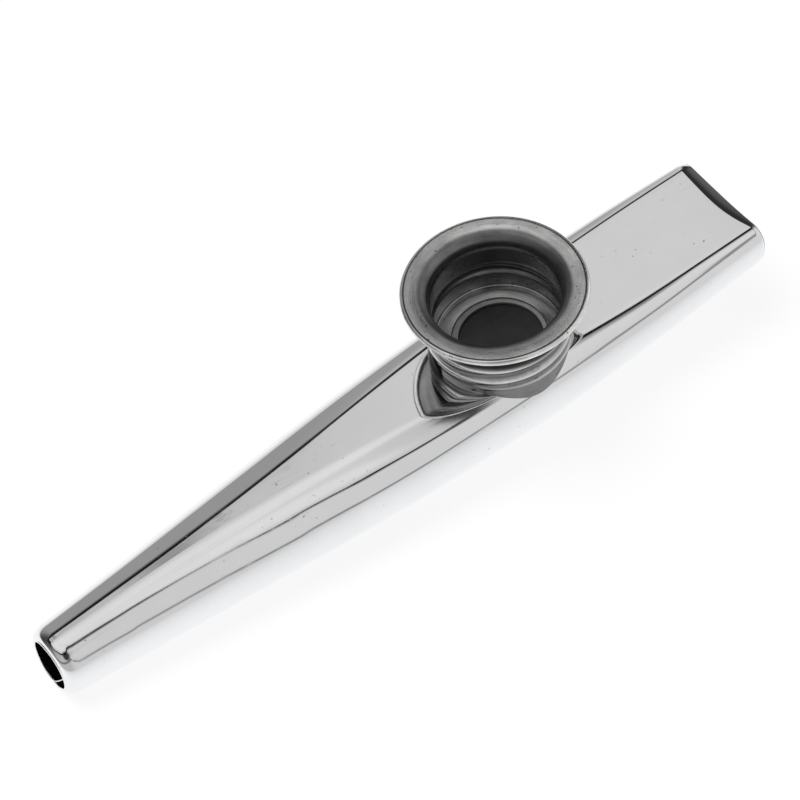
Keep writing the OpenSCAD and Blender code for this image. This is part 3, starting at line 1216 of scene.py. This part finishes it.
@dataclass
class Collar:
    """The threaded collar that stands in the body, with the seat for the film."""

    sizes: TurretSizes
    height: float = 8.8 * MM
    skirt_depth: float = 3.4 * MM
    skirt: float = 0.8 * MM
    seat_hole_r: float = 6.8 * MM
    plain_above_seat: float = 0.78 * MM
    edge: float = 0.12 * MM
    corner: float = 0.03 * MM
    nick: float = 0.02 * MM
    outer_rows: int = 110
    inner_rows: int = 90
    top_steps: int = 8
    around: int = 240

    def wall(self, radius: float, start: float, end: float, rows: int) -> list:
        """Rows of the threaded wall from one height to another, plain just above the seat."""
        plain = self.sizes.seat_top + self.plain_above_seat
        return [(radius, z, self.sizes.started(z, plain)) for z in np.linspace(start, end, rows)]

    def seat(self) -> list:
        """Rows of the turned-in seat, from the wall round its hole to the skirt.

        Returns:
            Rows of radius, height and thread share.
        """
        in_r, skirt_r = self.sizes.collar_in_r, self.sizes.collar_out_r - self.skirt
        top, low = self.sizes.seat_top, self.sizes.seat_top - self.sizes.seat_thick
        hole, edge, nick = self.seat_hole_r, self.edge, self.nick
        return [(in_r, top + nick, 0), (in_r - nick, top, 0), (hole + edge, top, 0), (hole, top - edge, 0),
                (hole, low + edge, 0), (hole + edge, low, 0), (skirt_r - nick, low, 0),
                (skirt_r, low - nick, 0)]

    def profile(self) -> list:
        """Draws the collar's profile, up the outside and down the inside.

        Returns:
            Rows of radius, height and thread share.
        """
        sizes, edge, corner = self.sizes, self.edge, self.corner
        low, top = sizes.panel - self.skirt_depth, sizes.panel + self.height
        out_r, in_r = sizes.collar_out_r, sizes.collar_in_r
        skirt_r = out_r - self.skirt
        half = (out_r - in_r) / 2
        rows = [(skirt_r + edge, low, 0), (out_r - edge, low, 0), (out_r - corner, low + corner, 0),
                (out_r, low + edge, 0)]
        rows += self.wall(out_r, low + 2 * edge, top - edge, self.outer_rows)
        rows += arc((out_r - half, top - edge), (half, edge), 0, 180, self.top_steps, 1.0)[1:-1]
        rows += self.wall(in_r, top - edge, sizes.seat_top + 2 * edge, self.inner_rows)
        return rows + self.seat() + [(skirt_r, low + edge, 0)]

    def build(self, tree: bpy.types.NodeTree, finish: bpy.types.Material) -> bpy.types.Object:
        """Builds the collar, rolls its thread and dresses it."""
        piece = turned("collar", self.profile(), self.sizes.axis_x, self.around)
        return roll_thread(piece, tree, self.sizes, finish)


@dataclass
class Cap:
    """The screw cap: ledge, threaded wall, flared throat, flat rim and rolled bead."""

    sizes: TurretSizes
    rim_r: float = 13.575 * MM
    bead_r: float = 0.45 * MM
    bead_tuck: float = 0.9
    rim_flat: float = 1.66 * MM
    rim_dip: float = 0.1 * MM
    flare_h: float = 1.9 * MM
    flare_lean: float = 84.0
    ledge_w: float = 2.4 * MM
    ledge_edge: float = 0.08 * MM
    bend_r: float = 0.55 * MM
    groove_w: float = 0.2 * MM
    groove_depth: float = 0.09 * MM
    groove_lip: float = 0.01 * MM
    groove_foot: float = 0.002 * MM
    plain_top: float = 17.885 * MM
    wall_top: float = 23.92 * MM
    wall_ease: float = 0.3 * MM
    turn_end: float = 20.0 * MM
    wall_rows: int = 110
    flat_rows: int = 9
    outer_bend_steps: int = 10
    inner_bend_steps: int = 6
    outer_flare_end: float = 88.0
    outer_flare_rows: int = 15
    inner_flare_rows: int = 22
    bead_start: float = -172.0
    bead_steps: int = 26
    around: int = 240

    @property
    def core_in(self) -> float:
        """Plain inner radius of the threaded wall."""
        return self.sizes.core_r - self.sizes.cap_wall

    @property
    def throat_in(self) -> float:
        """Inner radius where the flare starts."""
        return self.core_in + self.sizes.thread_depth / 2

    @property
    def bead_centre(self) -> float:
        """Radius at which the round bead is centred."""
        return self.rim_r - self.bead_r

    @property
    def flat_out(self) -> float:
        """Outer radius of the rim's flat face."""
        return self.bead_centre - self.bead_r / 2

    @property
    def flare_reach(self) -> float:
        """How far the flare spreads, from the throat to the rim's flat face."""
        return self.flat_out - self.rim_flat - self.throat_in

    @property
    def flare_low(self) -> float:
        """Height at which the flare starts."""
        return self.sizes.rim_top - self.flare_h

    @property
    def hole_r(self) -> float:
        """Radius of the ledge's hole."""
        return self.core_in - self.ledge_w

    def wall(self, core: float) -> list:
        """Rows of the threaded wall, from the bend above the ledge to the flare.

        Args:
            core: Plain radius of this side of the wall.

        Returns:
            Rows of radius, height and thread share, rising.
        """
        sizes, low, high = self.sizes, self.sizes.ledge_low + self.bend_r, self.flare_low
        rows = []
        for z in np.linspace(low, high, self.wall_rows):
            out = fade(z, self.wall_top - self.wall_ease, high - self.wall_top + self.wall_ease)
            thread = sizes.started(z, self.plain_top) * (1 - sizes.started(z, self.turn_end))
            rows.append((core + sizes.thread_depth / 2 * out, z, thread))
        return rows

    def flare(self, throat: float, rise: float, angles: Points) -> list:
        """Rows of the flare up from its throat, at angles along a quarter of an ellipse."""
        reach, low = self.flare_reach, self.flare_low
        return [(throat + reach * (1 - math.cos(angle)), low + rise * math.sin(angle), 0) for angle in angles]

    def outside(self) -> list:
        """Rows up the outside, from the ledge's hole over the bead to the groove.

        Returns:
            Rows of radius, height and thread share.
        """
        sizes, edge, hole, bend = self.sizes, self.ledge_edge, self.hole_r, self.bend_r
        low, top = sizes.ledge_low, sizes.rim_top
        rows = [(hole, sizes.ledge_top - edge, 0), (hole, low + edge, 0), (hole + edge, low, 0)]
        rows += arc((sizes.core_r - bend, low + bend), (bend, bend), -90, 0, self.outer_bend_steps)
        rows += self.wall(sizes.core_r)[1:]
        rise = self.flare_h - sizes.cap_wall
        angles = np.radians(np.linspace(0, self.outer_flare_end, self.outer_flare_rows))[1:]
        rows += self.flare(sizes.core_r + sizes.thread_depth / 2, rise, angles)
        rows += [(self.bead_centre - self.bead_r * self.bead_tuck, top - sizes.cap_wall, 0)]
        centre, reach = (self.bead_centre, top - self.bead_r), (self.bead_r, self.bead_r)
        return rows + arc(centre, reach, self.bead_start, 90, self.bead_steps)

    def rim(self) -> list:
        """Rows of the groove and of the rim's slightly dipped flat face.

        Returns:
            Rows of radius, height and thread share, going inwards.
        """
        top, flat, width = self.sizes.rim_top, self.flat_out, self.groove_w
        rows = [(flat + width, top - self.groove_lip, 0), (flat + width * 0.75, top - self.groove_depth, 0),
                (flat + width * 0.25, top - self.groove_depth, 0), (flat, top - self.groove_foot, 0)]
        inner = self.throat_in + self.flare_reach * (1 - math.cos(math.radians(self.flare_lean)))
        for share in np.linspace(0, 1, self.flat_rows)[1:-1]:
            rows.append((flat + (inner - flat) * share, top - self.rim_dip * share * share, 0))
        return rows

    def inside(self) -> list:
        """Rows down the inside, from the flat face to the ledge.

        Returns:
            Rows of radius, height and thread share.
        """
        lean = math.radians(self.flare_lean)
        rise = (self.flare_h - self.rim_dip) / math.sin(lean)
        bend = self.bend_r - self.sizes.cap_wall
        ledge = self.sizes.ledge_top
        rows = self.flare(self.throat_in, rise, np.linspace(lean, 0, self.inner_flare_rows))
        rows += self.wall(self.core_in)[::-1][1:]
        rows += arc((self.core_in - bend, ledge + bend), (bend, bend), 0, -90, self.inner_bend_steps)[1:]
        return rows + [(self.hole_r + self.ledge_edge, ledge, 0)]

    def build(self, tree: bpy.types.NodeTree, finish: bpy.types.Material) -> bpy.types.Object:
        """Builds and dresses the cap.

        Args:
            tree: The thread's tree.
            finish: The brushed metal.

        Returns:
            The piece.
        """
        profile = self.outside() + self.rim() + self.inside()
        piece = turned("cap", profile, self.sizes.axis_x, self.around)
        return roll_thread(piece, tree, self.sizes, finish)


@dataclass
class Ring:
    """The loose ring between the cap's ledge and the film, lying a little off centre."""

    sizes: TurretSizes
    in_r: float = 6.16 * MM
    out_r: float = 8.8 * MM
    edge: float = 0.15 * MM
    shift: float = 0.2 * MM
    edge_steps: int = 6
    around: int = 192

    def build(self, finish: bpy.types.Material) -> bpy.types.Object:
        """Builds and dresses the ring.

        Args:
            finish: The satin finish.

        Returns:
            The piece.
        """
        edge = self.edge
        low, top = self.sizes.film_top + edge, self.sizes.ledge_low - edge
        outer, inner = self.out_r - edge, self.in_r + edge
        rows = []
        corners = ((outer, low), (outer, top), (inner, top), (inner, low))
        for start, centre in zip((-90, 0, 90, 180), corners):
            rows += arc(centre, (edge, edge), start, start + 90, self.edge_steps)
        piece = turned("ring", rows, self.sizes.axis_x + self.shift, self.around)
        piece.data.materials.append(finish)
        return piece


@dataclass
class Film:
    """The film disc on the collar's seat, slightly slack in the middle."""

    sizes: TurretSizes
    radius: float = 9.3 * MM
    slack: float = 0.03 * MM
    slack_share: float = 0.62
    skin: float = 0.002 * MM
    hub_share: float = 0.001
    rows: int = 24
    around: int = 128

    def build(self, finish: bpy.types.Material) -> bpy.types.Object:
        """Builds and dresses the film, a hair thinner than the room between seat and ring.

        Args:
            finish: The film's finish.

        Returns:
            The piece.
        """
        upper = []
        for share in np.linspace(self.hub_share, 1, self.rows):
            sag = self.slack * (1 - min(1.0, (share / self.slack_share) ** 2))
            upper.append((self.radius * share, self.sizes.film_top - sag - self.skin, 0))
        thick = self.sizes.film_thick - 2 * self.skin
        lower = [(radius, height - thick, 0) for radius, height, _ in upper]
        piece = turned("film", lower + upper[::-1], self.sizes.axis_x, self.around)
        piece.data.materials.append(finish)
        return piece


# studio


@dataclass
class Studio:
    """Camera, floor, lamp and the soft surroundings.

    The knots give degrees above the horizon, degrees of width or shares of white light. They run over
    degrees round the object, but for floor_fade, which runs over millimetres across the floor, and
    box_light, which runs over degrees above the soft box's lower edge.
    """

    azimuth: float = 29.35
    elevation: float = 51.54
    roll: float = -8.11
    distance: float = 648.7 * MM
    aim: tuple[float, float, float] = (4.56 * MM, 5.25 * MM, 7.5 * MM)
    lens: float = 202.5
    sensor: float = 36.0
    clip: Band = (0.01, 100.0)
    floor_size: float = 6.0
    floor_drop: float = 0.02 * MM
    paper: Colour = (0.92, 0.92, 0.92, 1.0)
    floor_red: float = 0.985
    floor_seen: float = 0.88
    floor_mirrored: float = 0.98
    box_soft: Band = (-0.5, 0.5)
    line_soft: Band = (0.15, 1.0)
    line_shade: float = 0.34
    gap_soft: Band = (-1.0, -0.35)
    gap_shade: float = 0.035
    own_image: Band = (19.0, 9.0)
    own_shade: float = 0.08
    lamp_size: float = 0.9
    lamp_power: float = 16.0
    lamp_place: tuple[float, float, float] = (-0.3, 0.35, 1.3)
    floor_fade: Knots = (
        (-400, 0.70), (-200, 0.72), (-85, 0.77), (-45, 0.82), (-28, 0.87), (-18, 0.92), (-8, 1.0), (45, 1.0),
        (60, 0.88), (85, 0.78), (200, 0.72), (400, 0.68))
    box_edge: Knots = (
        (-180, 50), (-150, 56), (-120, 66), (-96, 76), (-91, 80), (-87, 76.5), (-85.2, 72), (-84.6, 66),
        (-84, 60), (-83, 55.5), (-81.8, 51.4), (-76, 50.2), (-72, 51.7), (-68, 56), (-64, 61), (-60, 64.5),
        (-55, 67.5), (-50, 70), (-40, 73), (-30, 74.8), (-15, 76), (5, 76), (20, 74.8), (30, 73), (38, 70),
        (44, 66), (49, 60), (52, 54), (54, 49), (57, 46.5), (60, 46.5), (63, 48.3), (67, 51.5), (72, 54.2),
        (80, 56), (96, 56.4), (108, 54.8), (121, 50), (130, 44), (138, 39), (160, 42), (180, 50))
    wall_light: Knots = (
        (-180, 0.4), (-150, 0.5), (-110, 0.5), (-96, 0.62), (-88, 0.67), (-60, 0.72), (-20, 0.76), (5, 0.72),
        (18, 0.45), (28, 0.15), (36, 0.08), (42, 0.03), (54, 0.03), (58, 0.2), (60, 0.5), (66, 0.62),
        (69, 0.5), (72, 0.36), (78, 0.33), (92, 0.31), (102, 0.26), (112, 0.14), (122, 0.07), (134, 0.05),
        (144, 0.09), (154, 0.2), (180, 0.4))
    gap_width: Knots = (
        (-180, 8), (-95, 12), (-89, 13), (-86, 11), (-84, 10), (-80, 7.5), (-74, 5), (-60, 4.4), (-20, 4),
        (16, 4), (30, 6), (50, 10), (57, 22), (65, 24), (68, 12), (71, 9), (78, 10), (83, 14), (92, 16),
        (106, 14), (120, 8), (180, 8))
    floor_line: Knots = (
        (-180, 10), (-96, 40), (-90, 28), (-88, 18), (-86, 9), (-84, 3.6), (-82, 2.2), (-80, 3), (-78, 7),
        (-74, 16), (-70.5, 28), (-67, 35), (-63, 41), (-60, 46), (-56, 51), (-40, 60), (0, 66), (50, 66),
        (90, 66), (180, 10))
    line_width: Knots = (
        (-180, 6), (-96, 6), (-88, 3.6), (-82, 3.6), (-70, 4.4), (-60, 4.2), (-40, 3), (-20, 2), (180, 6))
    box_light: Knots = ((0, 0.6), (4, 0.65), (12, 0.77), (26, 0.8), (34, 0.75))

    def view_axes(self) -> tuple[Vector, Vector, Vector]:
        """Works out the camera's axes from its angles.

        Returns:
            The directions to the right, upwards and straight ahead in the picture.
        """
        turn, rise, tilt = (math.radians(angle) for angle in (self.azimuth, self.elevation, self.roll))
        ahead = Vector((math.sin(turn) * math.cos(rise), math.cos(turn) * math.cos(rise), -math.sin(rise)))
        level = Vector((math.cos(turn), -math.sin(turn), 0.0))
        right = level * math.cos(tilt) + level.cross(ahead) * math.sin(tilt)
        return right, right.cross(ahead), ahead

    def eye(self) -> Vector:
        """Returns the place of the camera."""
        return Vector(self.aim) - self.view_axes()[2] * self.distance

    def camera(self) -> None:
        """Sets the camera where the photograph was taken from."""
        data = bpy.data.cameras.new("camera")
        data.lens = self.lens
        data.sensor_width = self.sensor
        data.clip_start, data.clip_end = self.clip
        made = bpy.data.objects.new("camera", data)
        right, up, ahead = self.view_axes()
        turn = Matrix((right, up, -ahead)).transposed()
        made.matrix_world = Matrix.Translation(self.eye()) @ turn.to_4x4()
        bpy.context.scene.collection.objects.link(made)
        bpy.context.scene.camera = made

    def floor(self) -> None:
        """Lays the pale floor under the object."""
        half, low = self.floor_size / 2, -self.floor_drop
        corners = [(-half, -half, low), (half, -half, low), (half, half, low), (-half, half, low)]
        piece = mesh_piece("floor", np.array(corners), [(0, 1, 2, 3)])
        piece.data.materials.append(self.floor_finish())

    def floor_finish(self) -> bpy.types.Material:
        """Makes the floor white to the camera, dimmer far off in reflections, with a soft shadow.

        Returns:
            The floor's material.
        """
        made = bpy.data.materials.new("pale_floor")
        made.use_nodes = True
        graph = Graph(made.node_tree)
        out = graph.node("ShaderNodeOutputMaterial")
        path = graph.node("ShaderNodeLightPath").outputs
        across = graph.split(graph.node("ShaderNodeTexCoord").outputs["Object"])[1]
        dim = graph.curve(graph.math("MULTIPLY", across, 1 / MM), self.floor_fade)
        seen = path["Is Camera Ray"]
        mirrored = graph.math("MAXIMUM", path["Is Glossy Ray"], path["Is Transmission Ray"])
        paper = graph.node("ShaderNodeBsdfDiffuse")
        paper.inputs["Color"].default_value = self.paper
        red = graph.math("MAXIMUM", seen, graph.math("MULTIPLY", dim, self.floor_red))
        blue = graph.math("MAXIMUM", seen, dim)
        glow = graph.node("ShaderNodeEmission")
        graph.put(graph.join(red, graph.between(0.5, red, blue), blue), glow.inputs["Color"])
        mix = graph.node("ShaderNodeMixShader")
        mirrored = graph.math("MULTIPLY", mirrored, self.floor_mirrored)
        graph.put(graph.math("MULTIPLY_ADD", seen, self.floor_seen, mirrored, clamp=True), mix.inputs[0])
        graph.put(paper.outputs[0], mix.inputs[1])
        graph.put(glow.outputs[0], mix.inputs[2])
        graph.put(mix.outputs[0], out.inputs["Surface"])
        return made

    def walls(self, graph: Graph, turn: Socket, rise: Socket, over: Socket) -> Socket:
        """Light of the walls, with a dark line above the floor and a dark gap below the soft box.

        Args:
            graph: The world's graph.
            turn: Degrees round the object.
            rise: Degrees above the horizon.
            over: Degrees above the soft box's lower edge.

        Returns:
            The light, as a share of white.
        """
        line = graph.math("ABSOLUTE", graph.math("SUBTRACT", rise, graph.curve(turn, self.floor_line)))
        line = graph.math("DIVIDE", line, graph.curve(turn, self.line_width))
        light = graph.math("MULTIPLY", graph.curve(turn, self.wall_light),
                           graph.step(line, *self.line_soft, self.line_shade, 1.0))
        gap = graph.math("DIVIDE", over, graph.curve(turn, self.gap_width))
        return graph.math("MULTIPLY", light, graph.step(gap, *self.gap_soft, 1.0, self.gap_shade))

    def surroundings(self) -> None:
        """Fills the world with the soft box overhead, the walls below it and the camera's dark image."""
        world = bpy.data.worlds.new("studio")
        bpy.context.scene.world = world
        world.use_nodes = True
        graph = Graph(world.node_tree)
        way = graph.vector("NORMALIZE", graph.node("ShaderNodeTexCoord").outputs["Generated"])
        x, y, z = graph.split(way)
        rise = graph.math("MULTIPLY", graph.math("ARCSINE", z), math.degrees(1.0))
        turn = graph.math("MULTIPLY", graph.math("ARCTAN2", y, x), math.degrees(1.0))
        over = graph.math("SUBTRACT", rise, graph.curve(turn, self.box_edge))
        walls = self.walls(graph, turn, rise, over)
        box = graph.step(over, *self.box_soft)
        light = graph.between(box, walls, graph.curve(over, self.box_light))
        facing = graph.vector("DOT_PRODUCT", way, tuple(self.eye().normalized()))
        start, end = (math.cos(math.radians(angle)) for angle in self.own_image)
        light = graph.math("MULTIPLY", light, graph.step(facing, start, end, 1.0, self.own_shade))
        seen = graph.node("ShaderNodeLightPath").outputs["Is Camera Ray"]
        sky = graph.node("ShaderNodeBackground")
        graph.put(graph.grey(graph.math("MAXIMUM", light, seen)), sky.inputs["Color"])
        out = graph.node("ShaderNodeOutputWorld")
        graph.put(sky.outputs[0], out.inputs["Surface"])

    def lamp(self) -> None:
        """Hangs one large soft lamp high up on the left of the camera's view, for the faint shadow."""
        data = bpy.data.lights.new("soft_lamp", "AREA")
        data.shape = "DISK"
        data.size = self.lamp_size
        data.energy = self.lamp_power
        made = bpy.data.objects.new("soft_lamp", data)
        made.location = self.lamp_place
        made.rotation_euler = (-Vector(self.lamp_place)).to_track_quat("-Z", "Y").to_euler()
        made.visible_glossy = False
        bpy.context.scene.collection.objects.link(made)

    def build(self) -> None:
        """Sets up the whole studio."""
        bpy.context.scene.view_settings.view_transform = "Standard"
        self.camera()
        self.floor()
        self.surroundings()
        self.lamp()


def place(piece: bpy.types.Object, rider: Rider, slot: Slot, *nodes: str) -> None:
    """Hands a finished piece to its body.

    Args:
        piece: The piece.
        rider: The body it rides on.
        slot: The record's material slot; not used.
        *nodes: CAD nodes that it stands for.
    """
    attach(piece, rider.value)
    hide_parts(*nodes)
    LOG.info("%s: %d faces on %s", piece.name, len(piece.data.polygons), rider.value)


def main() -> None:
    """Builds the pieces in order and reports each one."""
    logging.basicConfig(level=logging.INFO, format="%(name)s: %(message)s")
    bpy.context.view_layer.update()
    sizes = TurretSizes()
    Studio().build()
    plate = PolishedPlate().build()
    brushed = BrushedSteel(sizes).build()
    rolled = RolledSteel(sizes).build()
    tree = thread_tree()
    place(BodySheet(sizes).build(plate, DullLining().build()), Rider.BODY, Slot.BODY_METAL, "body_shell")
    place(Collar(sizes).build(tree, rolled), Rider.BODY, Slot.CAP_METAL, "turret_collar")
    place(Film(sizes).build(DarkFilm().build()), Rider.BODY, Slot.FILM, "membrane")
    place(Ring(sizes).build(SatinRing().build()), Rider.RING, Slot.RING, "pressure_ring")
    place(Cap(sizes).build(tree, brushed), Rider.CAP, Slot.CAP_METAL, "screw_cap")


if __name__ == "__main__":
    main()
